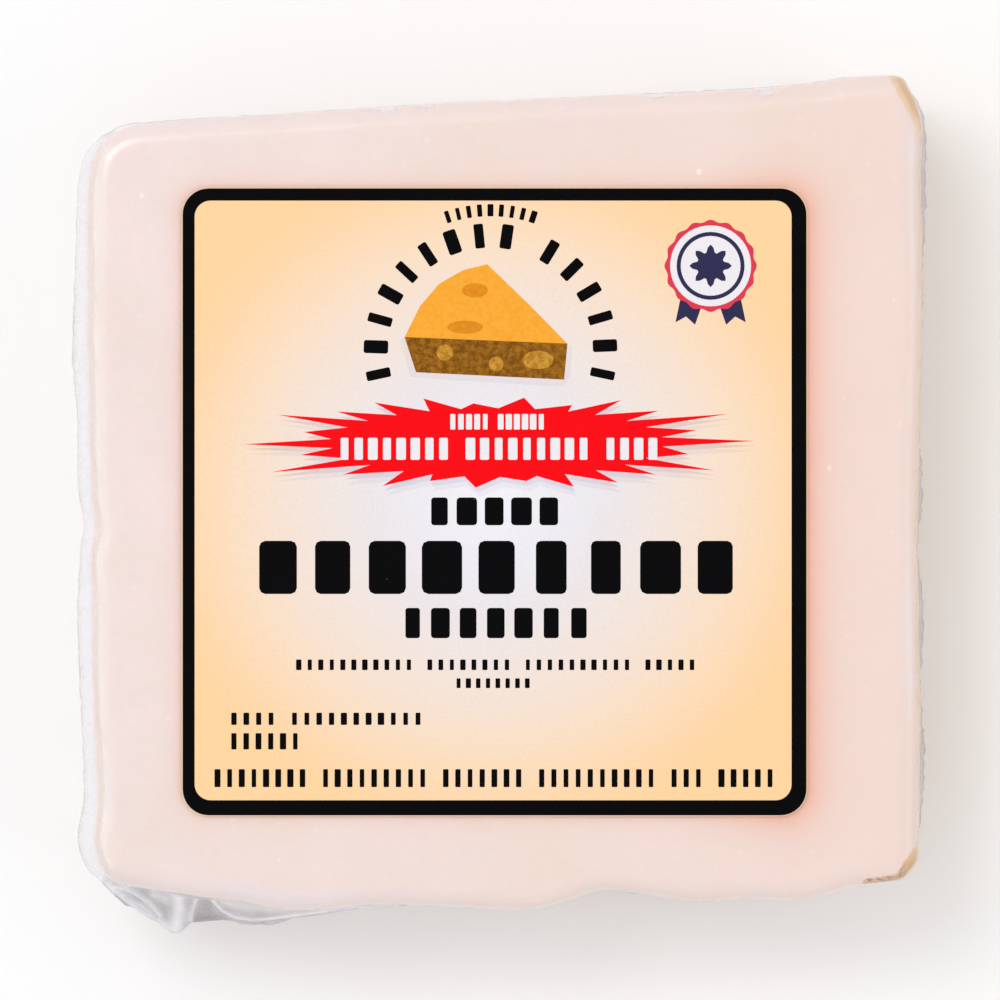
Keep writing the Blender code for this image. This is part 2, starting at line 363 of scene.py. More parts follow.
class Nodes:
    """One material's nodes. Each call adds a node, sets its values, links its inputs and gives an output."""

    def __init__(self, name):
        self.material = bpy.data.materials.new(name)
        self.material.use_nodes = True
        self.tree = self.material.node_tree
        self.tree.nodes.clear()

    def add(self, kind, inputs=None, output=0, **settings):
        node = self.tree.nodes.new("ShaderNode" + kind)
        for key, value in settings.items():
            setattr(node, key, value)
        for socket, value in (inputs or {}).items():
            if isinstance(value, bpy.types.NodeSocket):
                self.tree.links.new(value, node.inputs[socket])
            else:
                node.inputs[socket].default_value = value
        return node.outputs[output]

    def place(self):
        return self.add("TexCoord", output="Object")

    def number(self, attribute):
        return self.add("Attribute", output="Fac", attribute_name=attribute)

    def noise(self, size, detail=3.0, roughness=0.55, distortion=0.0, stretch=(1, 1, 1)):
        """Noise from 0 to 1 with lumps of about this size in mm."""
        return self.add("TexNoise", {
            "Vector": self.add("Mapping", {"Vector": self.place(), "Scale": stretch}),
            "Scale": 1.0 / (size * MM),
            "Detail": detail,
            "Roughness": roughness,
            "Distortion": distortion,
        })

    def specks(self, spacing, core, edge, strength):
        """Scattered dots this far apart: the strength within the core, and 0 beyond the edge; in mm."""
        cells = self.add("TexVoronoi", {"Vector": self.place(), "Scale": 1 / (spacing * MM)})
        return self.spread(cells, core / spacing, edge / spacing, strength, 0.0)

    def ramp(self, value, *stops):
        """A colour ramp through (place, red, green, blue) stops."""
        output = self.add("ValToRGB", {"Fac": value})
        elements = output.node.color_ramp.elements
        while len(elements) < len(stops):
            elements.new(0.5)
        for element, (place, *colour) in zip(elements, stops):
            element.position = place
            element.color = (*linear(*colour), 1.0)
        return output

    def spread(self, value, low, high, to_low=0.0, to_high=1.0):
        """The value's stretch from low to high, drawn out to run from to_low to to_high."""
        return self.add("MapRange", {"Value": value, 1: low, 2: high, 3: to_low, 4: to_high})

    def maths(self, operation, a, b, clamp=False):
        return self.add("Math", {0: a, 1: b}, operation=operation, use_clamp=clamp)

    def mixed(self, factor, a, b, blend="MIX"):
        """Colour a, turned to b by the factor."""
        a, b = (c if isinstance(c, bpy.types.NodeSocket) else (*c, 1.0) for c in (a, b))
        inputs = {"Factor": factor, 6: a, 7: b}
        return self.add("Mix", inputs, output=2, data_type="RGBA", blend_type=blend)

    def bump(self, height, distance, strength):
        return self.add("Bump", {"Height": height, "Distance": distance, "Strength": strength})

    def finish(self, surface):
        end = self.tree.nodes.new("ShaderNodeOutputMaterial")
        self.tree.links.new(surface, end.inputs["Surface"])
        return self.material


def linear(red, green, blue):
    """A screen colour, each part from 0 to 255, as the light it stands for."""
    shares = [c / 255 for c in (red, green, blue)]
    return tuple(c / 12.92 if c <= 0.04045 else ((c + 0.055) / 1.055) ** 2.4 for c in shares)


def cheese_material():
    n = Nodes("pale_parmesan")
    # Slow drifts between ivory, a pinker ivory and a creamier one, with fine mottling over them.
    drift = n.noise(19, detail=2.0)
    base = n.ramp(drift, (0.28, 242, 224, 222), (0.50, 238, 221, 217), (0.72, 236, 219, 210))
    patch = n.noise(5.5, detail=4.0, roughness=0.6, distortion=0.3)
    base = n.mixed(n.spread(patch, 0.5, 0.75, 0.0, 0.5), base, linear(235, 217, 219))
    fine = n.noise(1.1, detail=3.0)
    base = n.mixed(n.spread(fine, 0.35, 0.75, 0.0, 0.22), base, linear(246, 232, 223))
    # Painted light: the right side is a little darker and more peach, and the left a little whiter, as light
    # falling from the left would make them.
    place = n.add("SeparateXYZ", {"Vector": n.place()}).node.outputs
    painted_side_light = n.spread(place["X"], -45 * MM, 50 * MM)
    base = n.mixed(n.maths("MULTIPLY", painted_side_light, 0.55), base, linear(239, 213, 198))
    # Tiny crystals, a few larger pale ones, and the odd dark pin hole.
    base = n.mixed(n.specks(3.1, 0.12, 0.40, 0.22), base, linear(250, 240, 235))
    base = n.mixed(n.specks(7.0, 0.22, 0.48, 0.70), base, linear(252, 247, 246))
    base = n.mixed(n.specks(17, 0.17, 0.37, 0.75), base, linear(168, 120, 100))
    # Painted light and shade: the label's warm glow painted into the cheese beside it, painted grey shade
    # near the rind, painted light along the left side, and a cool painted sheen inside the edges.
    tones = {
        "painted_glow": (240, 168, 138), "shade": (222, 203, 194),
        "painted_lift": (255, 249, 244), "painted_sheen": (231, 226, 236),
    }
    for share, tone in tones.items():
        base = n.mixed(n.number(share), base, linear(*tone))
    # The rind has a ragged inner edge, and darkens outwards.
    ragged = n.spread(n.noise(0.9, detail=4.0, roughness=0.65), 0.0, 1.0, -0.4, 0.4)
    rind = n.maths("ADD", n.number("rind"), ragged)
    rind_tone = n.ramp(rind, (0.05, 233, 203, 180), (0.40, 231, 200, 168), (0.95, 214, 177, 134))
    blotch = n.noise(2.6, detail=5.0, roughness=0.65, stretch=(1, 1, 2.2))
    rind_tone = n.mixed(n.spread(blotch, 0.5, 0.75, 0.0, 0.6), rind_tone, linear(205, 160, 112))
    # At the front it is more golden, with dark crumbs along its top.
    golden = n.spread(place["Y"], -41.5 * MM, -43.5 * MM, 0.0, 0.5)
    rind_tone = n.mixed(golden, rind_tone, linear(206, 158, 96))
    crumbs = n.spread(n.noise(0.6, detail=3.0, roughness=0.7), 0.46, 0.56)
    at_front = n.spread(place["Y"], -44.0 * MM, -45.6 * MM, 0.0, 0.8)
    at_top = n.spread(place["Z"], 22 * MM, 26 * MM, 0.15, 1.0)
    crumbs = n.maths("MULTIPLY", crumbs, n.maths("MULTIPLY", at_front, at_top))
    rind_tone = n.mixed(crumbs, rind_tone, linear(136, 98, 68))
    base = n.mixed(n.spread(rind, -0.10, 0.14, 0.0, 0.92), base, rind_tone)
    grain = n.noise(0.55, detail=4.0, roughness=0.7)
    shader = n.add("BsdfPrincipled", {
        "Base Color": base,
        "Roughness": n.spread(patch, 0.3, 0.7, 0.42, 0.58),
        "Subsurface Weight": 0.35,
        "Subsurface Radius": (1.0, 0.62, 0.42),
        "Subsurface Scale": 1.6 * MM,
        "Specular IOR Level": 0.35,
        "Normal": n.bump(grain, 0.05 * MM, 0.5),
    })
    return n.finish(shader)


def film_material():
    """Clear film: it shows by its gloss, and turns milky where it is folded, gathered or lifted."""
    n = Nodes("clear_film")
    ripple = n.noise(1.7, detail=3.0, roughness=0.6, distortion=0.4)
    normal = n.bump(ripple, 0.02 * MM, 0.5)
    gloss = n.add("BsdfGlossy", {"Color": (1, 1, 1, 1), "Roughness": 0.2, "Normal": normal})
    clear = n.add("BsdfTransparent", {"Color": (1, 1, 1, 1)})
    # The same gloss from either side, as a thin sheet has.
    facing = n.add("LayerWeight", {"Blend": 0.5, "Normal": normal}, output="Facing")
    shine = n.spread(n.maths("POWER", facing, 4.0), 0.0, 1.0, 0.045, 0.7)
    film = n.add("MixShader", {"Fac": shine, 1: clear, 2: gloss})
    streak = n.noise(2.2, detail=3.0, roughness=0.5, distortion=0.4, stretch=(1.6, 1.6, 0.5))
    milky = n.maths("MULTIPLY", n.number("haze"), n.spread(streak, 0.3, 0.7, 0.90, 1.06), clamp=True)
    white = n.mixed(streak, linear(236, 233, 240), linear(246, 244, 249))
    tint = n.mixed(n.number("warm"), white, linear(241, 226, 221))
    # Where painted shade is asked for, the milk turns grey.
    milk = n.add("BsdfPrincipled", {
        "Base Color": n.mixed(n.number("dim"), tint, linear(150, 147, 152)),
        "Roughness": 0.3,
        "Specular IOR Level": 0.5,
    })
    both = n.add("MixShader", {"Fac": milky, 1: film, 2: milk})
    # Film this thin lets the lamps' light through even where it is milky.
    lamp = n.add("LightPath", output="Is Shadow Ray")
    passing = n.add("BsdfTransparent", {"Color": (0.97, 0.97, 0.97, 1)})
    return n.finish(n.add("MixShader", {"Fac": lamp, 1: both, 2: passing}))


def paper_finish(n, tone, grain, cloth_size, roughest, specular):
    """Semi-gloss paper of this tone, with its grain and slow drifts in its gloss."""
    shader = n.add("BsdfPrincipled", {
        "Base Color": tone,
        "Roughness": n.spread(n.noise(cloth_size, detail=2.0), 0.3, 0.7, 0.45, roughest),
        "Specular IOR Level": specular,
        "Normal": n.bump(grain, 0.01 * MM, 0.3),
    })
    return n.finish(shader)


def print_material(name, colour, mottle=None, fleck=0.0):
    """A field of ink with fine grain; mottled with a second colour, or pale flecks, if they are given."""
    n = Nodes(name)
    grain = n.noise(0.28, detail=2.0, roughness=0.7)
    full = linear(*colour)
    darker = tuple(c * 0.90 for c in full)
    tone = n.mixed(n.spread(grain, 0.25, 0.75), darker, full)
    if mottle:
        patches = n.noise(0.7, detail=4.0, roughness=0.75)
        tone = n.mixed(n.spread(patches, 0.40, 0.66), tone, linear(*mottle))
    if fleck:
        spots = n.noise(0.9, detail=1.0)
        tone = n.mixed(n.spread(spots, 0.80, 0.83, 0.0, fleck), tone, linear(205, 196, 190))
    return paper_finish(n, tone, grain, 6, 0.57, 0.03)


def ground_material(name, shade=(1.0, 1.0, 1.0)):
    """The label's ground: a whitish glow in its middle that warms to orange cream at its edges; in the
    print's soft shadows, darker by the shade."""
    n = Nodes(name)
    centred = n.add("Mapping", {
        "Vector": n.place(),
        "Location": (-LABEL_MIDDLE.x + 0.5 * MM, -LABEL_MIDDLE.y - 0.86 * MM, -LABEL_MIDDLE.z),
    })
    far = n.add("VectorMath", {0: centred}, output="Value", operation="LENGTH")
    far = n.maths("DIVIDE", far, 48 * MM)
    tone = n.ramp(
        far,
        (0.00, 240, 240, 247),
        (0.19, 234, 233, 240),
        (0.30, 232, 228, 232),
        (0.42, 238, 227, 222),
        (0.57, 243, 223, 206),
        (0.65, 246, 221, 194),
        (0.80, 251, 213, 169),
        (0.88, 250, 212, 160),
    )
    grain = n.noise(0.3, detail=2.0, roughness=0.7)
    tone = n.mixed(n.spread(grain, 0.3, 0.7, 0.0, 0.2), tone, linear(238, 214, 196), blend="MULTIPLY")
    tone = n.mixed(1.0, tone, shade, blend="MULTIPLY")
    return paper_finish(n, tone, grain, 7, 0.55, 0.15)


def floor_material():
    n = Nodes("plain_floor")
    cloud = n.noise(350, detail=2.0)
    tone = n.mixed(cloud, (0.94, 0.94, 0.94), (0.96, 0.96, 0.96))
    shader = n.add("BsdfPrincipled", {"Base Color": tone, "Roughness": 0.7, "Specular IOR Level": 0.2})
    return n.finish(shader)


# ---- the cheese


def cheese_grid(outline):
    """Loops of the cheese's skin from the middle of its base to the middle of its face."""
    sides = [outline.side_loop(z) for z in np.linspace(LOW_EDGE_Z, HIGH_EDGE_Z, 28)[1:-1]]
    loops = outline.lower_loops(0.08, 14, 8) + sides + outline.upper_loops(10)
    return np.array([blurred(loop, 1.2) for loop in loops])


def outside_label(x, y):
    """Distance in the plan from each point to the label's rounded square; under it, less than 0."""
    inner = LABEL_HALF - LABEL_CORNER
    dx = np.abs(x - LABEL_MIDDLE.x) - inner
    dy = np.abs(y - LABEL_MIDDLE.y) - inner
    outer = np.hypot(np.maximum(dx, 0), np.maximum(dy, 0)) + np.minimum(np.maximum(dx, dy), 0)
    return outer - LABEL_CORNER


# The rind's straight inner edges across the two right corners, in the plan, in mm: two points on each.
RIND_LINES = [((50.6, 46.6), (47.6, 51.9)), ((48.6, -45.4), (51.1, -41.7))]


def rind_depth(grid, edge_depth, outline):
    """How far inside the tan rind each point of the cheese lies, in mm: its right side, with a thin strip
    of the face there, and the two right corners. Outside it, less than 0."""
    x, y = outline.points.T / MM
    on_face = smooth_step(HIGH_EDGE_Z, HIGH_EDGE_Z + 2 * MM, grid[..., 2])
    right = outline.facing(RIGHT, 0.55)
    front_edge = smooth_step(43.4, 45.8, x) * smooth_step(-41.8, -43.5, y) * on_face
    width = 0.30 - 0.20 * hump(y + 39.5, 3) + 0.46 * front_edge
    width = width + 0.12 * lumps(grid, 2.6, 11) + 0.15 * lumps(grid, 9, 13)
    shown = np.clip(right + 2 * front_edge, 0, 1)
    depth = (width - edge_depth * on_face + 0.6 * (1 - on_face)) * shown - 1.5 * (1 - shown)
    for (ax, ay), (bx, by) in RIND_LINES:
        length = math.hypot(bx - ax, by - ay)
        seen_x = x + (grid[..., 0] / MM - x) * on_face
        seen_y = y + (grid[..., 1] / MM - y) * on_face
        across = (seen_x - ax) * (by - ay) - (seen_y - ay) * (bx - ax)
        depth = np.maximum(depth, across / length)
    return np.clip(depth, -1.5, 2.5)


def painted_sheen_share(grid, outline):
    """How much cool pale tint each point has, in strips just inside the edges of the face: a painted
    reflection of the film's sheen, and at the front the paleness of film lifted off the cheese.
    """
    x, y, z = np.moveaxis(grid, -1, 0) / MM
    right = outline.facing(RIGHT, 0.55)
    back = outline.facing(BACK, 0.7, 0.9)
    front = outline.facing(FRONT, 0.7, 0.9)
    wobble = lumps(grid, 3.5, 21)
    # At the back right corner, which is cut off, they lie further in.
    at_cut = 1 - smooth_step(1.5, 6.5, outline.away(50.3, 49.0))
    depth = inside_edge(grid, outline) / MM - at_cut
    strip = smooth_step(0.1, 0.9, depth) * (1 - smooth_step(1.2, 2.8, depth + 0.6 * wobble))
    strip = strip * smooth_step(HIGH_EDGE_Z / MM, HIGH_EDGE_Z / MM + 1, z)
    on_right = 0.02 + 0.12 * smooth_step(22, 32, y) + 0.25 * hump(y - 43.5, 3)
    on_right = right * (on_right + 0.28 * hump(y + 17, 9))
    on_front = front * (0.10 + 0.42 * hump(x + 28, 11))
    return np.clip(strip * (on_right + on_front + 0.15 * back) * (1 + 0.8 * wobble), 0, 1)


def painted_edge_shade(edge_depth, outline):
    """How much painted shade greys the cheese near its right side."""
    return 0.45 * outline.facing(RIGHT, 0.55) * (1 - smooth_step(0.2, 2.8, edge_depth))


def painted_lift_share(edge_depth, outline):
    """How much painted light makes the cheese paler along its left side, lifting the shade under the film's
    fold: all the way down it, and a thin strip of the face.
    """
    return 0.85 * outline.facing(LEFT) * (1 - smooth_step(0.7, 2.1, edge_depth))


def painted_glow_share(grid):
    """The label's warm glow painted into the cheese beside it, as painted light, strongest on the right and
    least at the top.
    """
    x, y, z = np.moveaxis(grid, -1, 0)
    away = np.maximum(outside_label(x, y), 0.0)
    right = smooth_step(20 * MM, 38 * MM, x - LABEL_MIDDLE.x)
    back = smooth_step(30 * MM, 38 * MM, y - LABEL_MIDDLE.y)
    strength = 0.30 + 0.55 * right + 0.2 * back * (1 - right)
    reach = (1.1 + 0.9 * right) * MM
    on_face = smooth_step(BLOCK_HIGH.z - 3 * MM, BLOCK_HIGH.z - 1 * MM, z)
    return strength * np.exp(-away / reach) * on_face


def make_cheese():
    outline = Outline(CHEESE_ROUND)
    grid = cheese_grid(outline)
    # The sheen, shade, light and glow shares below are light and shade painted into the cheese's colour.
    shares = {"painted_sheen": painted_sheen_share(grid, outline)}
    edge_depth = inside_edge(grid, outline) / MM
    grid = filled_out(grid, outline)
    shares["rind"] = rind_depth(grid, edge_depth, outline)
    shares["shade"] = painted_edge_shade(edge_depth, outline)
    shares["painted_lift"] = painted_lift_share(edge_depth, outline)
    shares["painted_glow"] = painted_glow_share(grid)
    normals = normals_of(grid)
    # The cut sides are rougher than the face, with fine crumbling.
    crumble = 0.05 * MM * sideways(normals) * (lumps(grid * ALONG_CUT, 1.7, 3) - 0.8)
    skin = grid + normals * (relief(grid, normals) - CHEESE_INSET + crumble)[..., None]
    skin[..., 2] = np.maximum(skin[..., 2], BLOCK_LOW.z + 0.15 * MM)
    return grid_piece("cheese", skin, cheese_material(), **shares)


# ---- the film


# Where the welded edge reaches further out than its solid, or less far: (x, y, how much, spread), in mm.
RIM_CHANGES = [(-50.5, -41.3, 0.5, 3.0), (-48.0, -46.8, -0.35, 1.4), (48.0, 51.6, -0.30, 4.0)]


class Rim:
    """The pouch's welded edge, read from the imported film_margin at each point of the outline."""

    def __init__(self, outline):
        points = vertices_of("film_margin")
        offsets = points[:, None, :2] - outline.points[None]
        nearest = np.argmin(np.linalg.norm(offsets, axis=2), axis=1)
        beyond = offsets[np.arange(len(points)), nearest]
        ways = outline.way[nearest] + np.sum(beyond * outline.along[nearest], axis=1)
        reaches = np.sum(beyond * outline.out[nearest], axis=1)
        tips = []
        for way, reach, z in zip(ways, reaches, points[:, 2]):
            rivals = np.abs(ways - way) < 0.9 * MM
            if reach > reaches[rivals].max() - 0.02 * MM:
                tips.append((way, reach, z))
        way, reach, z = np.array(sorted(tips)).T
        self.reach = np.interp(outline.way, way, reach, period=outline.length)
        self.tip_z = np.interp(outline.way, way, z, period=outline.length)
        self.tip_z = blurred(self.tip_z, 2.5)
        # Where it is narrow it lies close.
        self.reach = self.reach - 0.2 * MM * (1 - smooth_step(0.3 * MM, 0.7 * MM, self.reach))
        for x, y, wider, spread in RIM_CHANGES:
            self.reach = self.reach + wider * MM * hump(outline.away(x, y), spread)
        # The weld's edge is crumpled finer than its solid shows.
        slow = np.array([noise.noise(Vector((w / (1.5 * MM), 0.0, 0.0))) for w in outline.way])
        fast = np.array([noise.noise(Vector((w / (0.6 * MM), 9.0, 0.0))) for w in outline.way])
        right = outline.facing(RIGHT)
        self.reach = blurred(self.reach, 1.5) + (0.11 + 0.12 * right) * MM * slow + 0.20 * MM * right * fast


def gathers(outline, depth, rng):
    """Short folds that run from the welded edge up and down the sides: their height at each point."""
    total = np.zeros(depth.shape)
    for _ in range(150):
        place = rng.uniform(0, outline.length)
        width = rng.uniform(0.45, 1.3) * MM
        fall = rng.uniform(2.0, 8.0) * MM
        slant = rng.uniform(-0.45, 0.45)
        height = rng.uniform(0.05, 0.20) * MM
        beside = outline.way - place - slant * depth
        beside = (beside + outline.length / 2) % outline.length - outline.length / 2
        total += height * hump(beside, width) * np.exp(-np.abs(depth) / fall)
    return total


# The ear at the front left, in the plan, in mm: folds (line, half width, milkiness, painted grey shade).
EAR_FOLDS = [
    ([(-48.0, -46.6), (-44.9, -49.3), (-42.3, -51.0), (-39.6, -52.2)], 0.55, 0.85, 0.0),
    ([(-39.2, -47.6), (-39.2, -49.6), (-39.6, -51.9)], 1.15, 0.95, 0.0),
    ([(-36.9, -47.9), (-37.6, -49.6), (-38.0, -51.0)], 0.45, 0.7, 0.1),
    ([(-46.0, -46.6), (-43.6, -48.5), (-41.4, -50.6)], 0.35, 0.7, 0.2),
    ([(-35.2, -48.4), (-34.0, -49.9), (-32.4, -50.7), (-30.2, -51.0), (-27.2, -50.7), (-23.5, -50.2),
      (-11.0, -48.9)], 0.30, 0.9, 0.0),
    ([(-37.4, -51.3), (-34.0, -51.0), (-31.0, -51.3), (-27.6, -51.1)], 0.18, 0.7, 0.8),
    ([(-47.0, -47.9), (-44.5, -50.0), (-42.4, -51.4)], 0.16, 0.75, 0.9),
    ([(-47.2, -46.9), (-44.8, -47.5), (-42.8, -48.8), (-41.4, -50.4)], 0.22, 0.8, 0.0),
    ([(-45.6, -48.4), (-43.8, -49.2), (-42.2, -50.6)], 0.20, 0.7, 0.1),
]
# Its clear windows: (line, half width).
EAR_WINDOWS = [
    ([(-42.3, -48.1), (-40.7, -48.8)], 0.8),
    ([(-34.4, -48.9), (-31.0, -49.7), (-26.0, -49.6)], 0.7),
]
# Lifted spots of the film, in the plan, in mm: (x, y, half width, half depth, milkiness).
FILM_SPOTS = [
    (-14.0, 48.1, 1.5, 0.6, 0.75), (-8.9, 48.7, 1.1, 0.5, 0.6), (1.2, 49.2, 1.3, 0.5, 0.6),
    (19.4, 50.0, 1.5, 0.6, 0.8), (32.6, 50.2, 1.2, 0.6, 0.6),
]
# The tent's knee along the left side, in mm: how far out it stands and how far under the face's edge, each
# with how much that varies; and how deep its pleats are.
KNEE_OUT = (0.95, 0.35)
KNEE_DROP = (2.1, 0.8)
TENT_PLEATS = 0.16


def film_grid(even, outline, respaced, rim):
    """Loops of the film's skin, with its welded edge standing out of the sides. With them come the share
    of the way out to the weld at each loop, and how much of an ear the edge is at each point round. The
    loops are read at the even outline and respaced to the other."""
    around = len(outline.points)
    levels = np.linspace(LOW_EDGE_Z, HIGH_EDGE_Z, 14)
    side_out = []
    for z in levels:
        stand = np.sum((even.side_loop(z)[:, :2] - even.points) * even.out, axis=1)
        side_out.append(respaced(blurred(stand, 2.0)[:, None])[:, 0])
    side_out = np.array(side_out)

    def side_at(z):
        """How far out of the outline the side stands at these heights."""
        place = np.clip((z - levels[0]) / (levels[1] - levels[0]), 0, len(levels) - 1.001)
        low = place.astype(int)
        i = np.arange(around)
        return side_out[low, i] * (1 - place + low) + side_out[low + 1, i] * (place - low)

    loops, weld = [], []

    def add(loop, share=0.0):
        loops.append(loop)
        weld.append(np.full(around, share))

    def add_even(loop):
        add(respaced(blurred(loop, 1.4)))

    def add_side(z, out=None, share=0.0):
        close = side_at(z) + 0.12 * MM * min(4 * share, 1)
        out = close if out is None else np.maximum(out, close)
        add(np.column_stack([outline.points + outline.out * out[:, None], z]), share)

    at_front = smooth_step(-45.5 * MM, -47.5 * MM, outline.points[:, 1])
    ear = blurred(smooth_step(0.5 * MM, 1.8 * MM, rim.reach) * at_front, 4.0)
    left = outline.facing(LEFT)
    lips = (0.45 + 0.25 * smooth_step(0.8 * MM, 1.6 * MM, rim.reach)) * MM
    low_root = rim.tip_z - lips - 2.6 * MM * ear
    high_root = rim.tip_z + lips
    high_root = high_root + (HIGH_EDGE_Z - 0.8 * MM - high_root) * np.maximum(ear, 0.85 * left)
    pleat = np.sin(outline.way / (1.15 * MM)) + 0.8 * np.sin(outline.way / (0.71 * MM) + 1.3)
    pleat = pleat * (0.08 * MM + 0.25 * MM * ear)

    for loop in even.lower_loops(0.1, 6, 6):
        add_even(loop)
    for t in np.linspace(0, 1, 9)[1:]:
        add_side(LOW_EDGE_Z + (low_root - LOW_EDGE_Z) * t)
    for t in np.linspace(0, 1, 8)[1:]:
        out = side_at(low_root) + (rim.reach - 0.05 * MM - side_at(low_root)) * t**1.25
        z = low_root + (rim.tip_z - 0.06 * MM - low_root) * t**0.8
        add_side(z + pleat * t, out, t)
    tip = len(loops)
    for t in np.linspace(1, 0, 24)[:-1]:
        out = side_at(high_root) + (rim.reach - side_at(high_root)) * t
        z = high_root + (rim.tip_z + 0.06 * MM - high_root) * t ** (0.7 + 0.6 * left)
        add_side(z + pleat * t, out, t)
    for t in np.linspace(0, 1, 7)[:-1]:
        add_side(high_root + (HIGH_EDGE_Z - high_root) * t)
    top = len(loops) + 4
    for loop in even.upper_loops(11):
        add_even(loop)
    raise_tent(loops, tip, top, outline, left * (1 - ear))
    return np.array(loops), np.array(weld), ear


def raise_tent(loops, tip, top, outline, share):
    """Along the left side the film stands off the block, as a tent from its weld to the edge of the face:
    the loops from tip to top are drawn out to it by the share."""
    level = outline.raised(outline.points, 0.0)
    slow = lumps(level, 5, 31)
    knee_out = (KNEE_OUT[0] + KNEE_OUT[1] * slow) * MM
    knee_z = loops[top][:, 2] - (KNEE_DROP[0] + KNEE_DROP[1] * slow) * MM
    knee = np.column_stack([outline.points + outline.out * knee_out[:, None], knee_z])
    pleat = TENT_PLEATS * MM * lumps(level, 1.3, 32)
    pleats = outline.raised(outline.out * pleat[:, None], 0.0)
    for i in range(tip, top):
        t = (i - tip) / (top - tip)
        curve = (1 - t) ** 2 * loops[tip] + 2 * t * (1 - t) * knee + t * t * loops[top]
        curve = curve + 4 * t * (1 - t) * pleats
        loops[i] = loops[i] + (curve - loops[i]) * share[:, None]


def spots_share(grid, normals):
    """The ragged lifted spots: how milky each makes the film."""
    x, y = np.moveaxis(grid[..., :2], -1, 0) / MM
    ragged = 0.35 * lumps(grid, 0.9, 24)
    total = np.zeros(x.shape)
    for spot_x, spot_y, wide, deep, milk in FILM_SPOTS:
        away = np.hypot((x - spot_x) / wide, (y - spot_y) / deep)
        total = np.maximum(total, milk * (1 - smooth_step(0.4, 1.5, away + ragged)))
    return total * (normals[..., 2] > 0.2)


def milkiness(grid, weld, ear, outline, folds, spots):
    """How milky the film is at each point, how much of its milk is painted grey as shade, and how warm its
    milkiness is: at folds and gathers, along its welded edge, and where it lifts off the cheese."""
    x, y, z = np.moveaxis(grid, -1, 0) / MM
    depth = inside_edge(grid, outline) / MM
    left = outline.facing(LEFT) * (1 - ear)
    right = outline.facing(RIGHT)
    upper = smooth_step(13.0, 15.0, z)
    wobble = lumps(grid, 3.5, 21)
    edge = smooth_step(0.1, 0.6, weld)
    haze = edge * (0.25 + 0.15 * right)
    rim_line = smooth_step(0.9 - 0.2 * left, 1.0 - 0.1 * left, weld)
    # Painted shade: the milk greys along the weld, most at its outer line, where the film is seen edge-on.
    dim = 0.35 * edge + 0.40 * rim_line
    # The fold along the left side covers the rounded edge of the face above it, and fades inwards.
    fold = left * upper * (1 - smooth_step(0.4, 1.3, depth + 0.25 * wobble))
    # Lower down it is gathered and clearer, in upright streaks.
    streaks = lumps(grid * np.array([1.0, 1.0, 0.15]), 1.1, 26)
    low = 1 - smooth_step(20.0, 24.5, z)
    haze = np.maximum(haze, 0.92 * fold * (1 - low * (0.60 - 0.40 * streaks)))
    dim = dim * (1 - fold * (1 - rim_line))
    haze = np.maximum(haze, np.clip(folds / (0.6 * MM), 0.0, 0.35))
    # The ear: clear windows between milky folds, its milk painted grey as the shade seen through the film.
    web = ear * smooth_step(0.02, 0.1, weld)
    web_haze = 0.56 + 0.2 * lumps(grid, 1.6, 22) - 0.22 * smooth_step(-36, -33, x)
    for line, width in EAR_WINDOWS:
        web_haze = web_haze * (1 - 0.8 * hump(distance_to_line(x, y, line), width))
    haze = haze * (1 - web) + web * web_haze
    dim = dim * (1 - web) + web * 0.95
    for line, width, milk, painted_fold_grey in EAR_FOLDS:
        share = hump(distance_to_line(x, y, line), width) * upper * (weld > 0.01)
        haze = np.maximum(haze, milk * share)
        dim = dim * (1 - share) + painted_fold_grey * share
    haze = np.maximum(haze, spots)
    warm = left * smooth_step(-0.5, 0.4, depth + 0.2 * wobble)
    return np.clip(haze, 0.0, 1.0), np.clip(dim, 0.0, 1.0), warm


def make_film():
    even = Outline(FILM_ROUND)
    outline, respaced = even.denser(3.0)
    rim = Rim(outline)
    grid, weld, ear = film_grid(even, outline, respaced, rim)
    grid = filled_out(grid, outline)
    normals = normals_of(grid)
    x, y, z = np.moveaxis(grid, -1, 0)
    on_side = 1 - smooth_step(0.35, 0.9, np.abs(normals[..., 2]))
    free = 1 - smooth_step(0.0, 0.3, weld)
    folds = gathers(outline, z - rim.tip_z, random.Random(5)) * on_side * free * (1 - ear)
    rise = FILM_LIFT + folds + relief(grid, normals) * free
    spots = spots_share(grid, normals)
    rise = rise + 0.02 * MM * spots
    for line, width, milk, _ in EAR_FOLDS:
        ridge = hump(distance_to_line(x / MM, y / MM, line), width)
        rise = rise + 0.35 * MM * milk * ridge * (weld > 0.01) * (z > 14 * MM)
    skin = grid + normals * rise[..., None]
    skin[..., 2] = np.maximum(skin[..., 2], BLOCK_LOW.z + 0.02 * MM)
    haze, dim, warm = milkiness(grid, weld, ear, outline, folds, spots)
    return grid_piece("film", skin, film_material(), haze=haze, dim=dim, warm=warm)


# ---- the label
# Its print is laid out in mm from the label's middle, x to its right and y to its top.


def rounded_box(left, low, right, high, radius, steps=6):
    """Outline of a rectangle with rounded corners, anticlockwise."""
    middles = ((right - radius, high - radius, 0), (left + radius, high - radius, 1),
               (left + radius, low + radius, 2), (right - radius, low + radius, 3))
    outline = []
    for x, y, quarter in middles:
        for k in range(steps + 1):
            angle = (quarter + k / steps) * math.pi / 2
            outline.append((x + radius * math.cos(angle), y + radius * math.sin(angle)))
    return outline


def disc(x, y, radius, steps=28, wave=0.0, waves=0, squash=1.0):
    """A round outline, scalloped if waves are asked for, and lower than wide by the squash."""
    outline = []
    for k in range(steps):
        angle = 2 * math.pi * k / steps
        reach = radius * (1 + wave * math.cos(waves * angle))
        outline.append((x + reach * math.cos(angle), y + squash * reach * math.sin(angle)))
    return outline


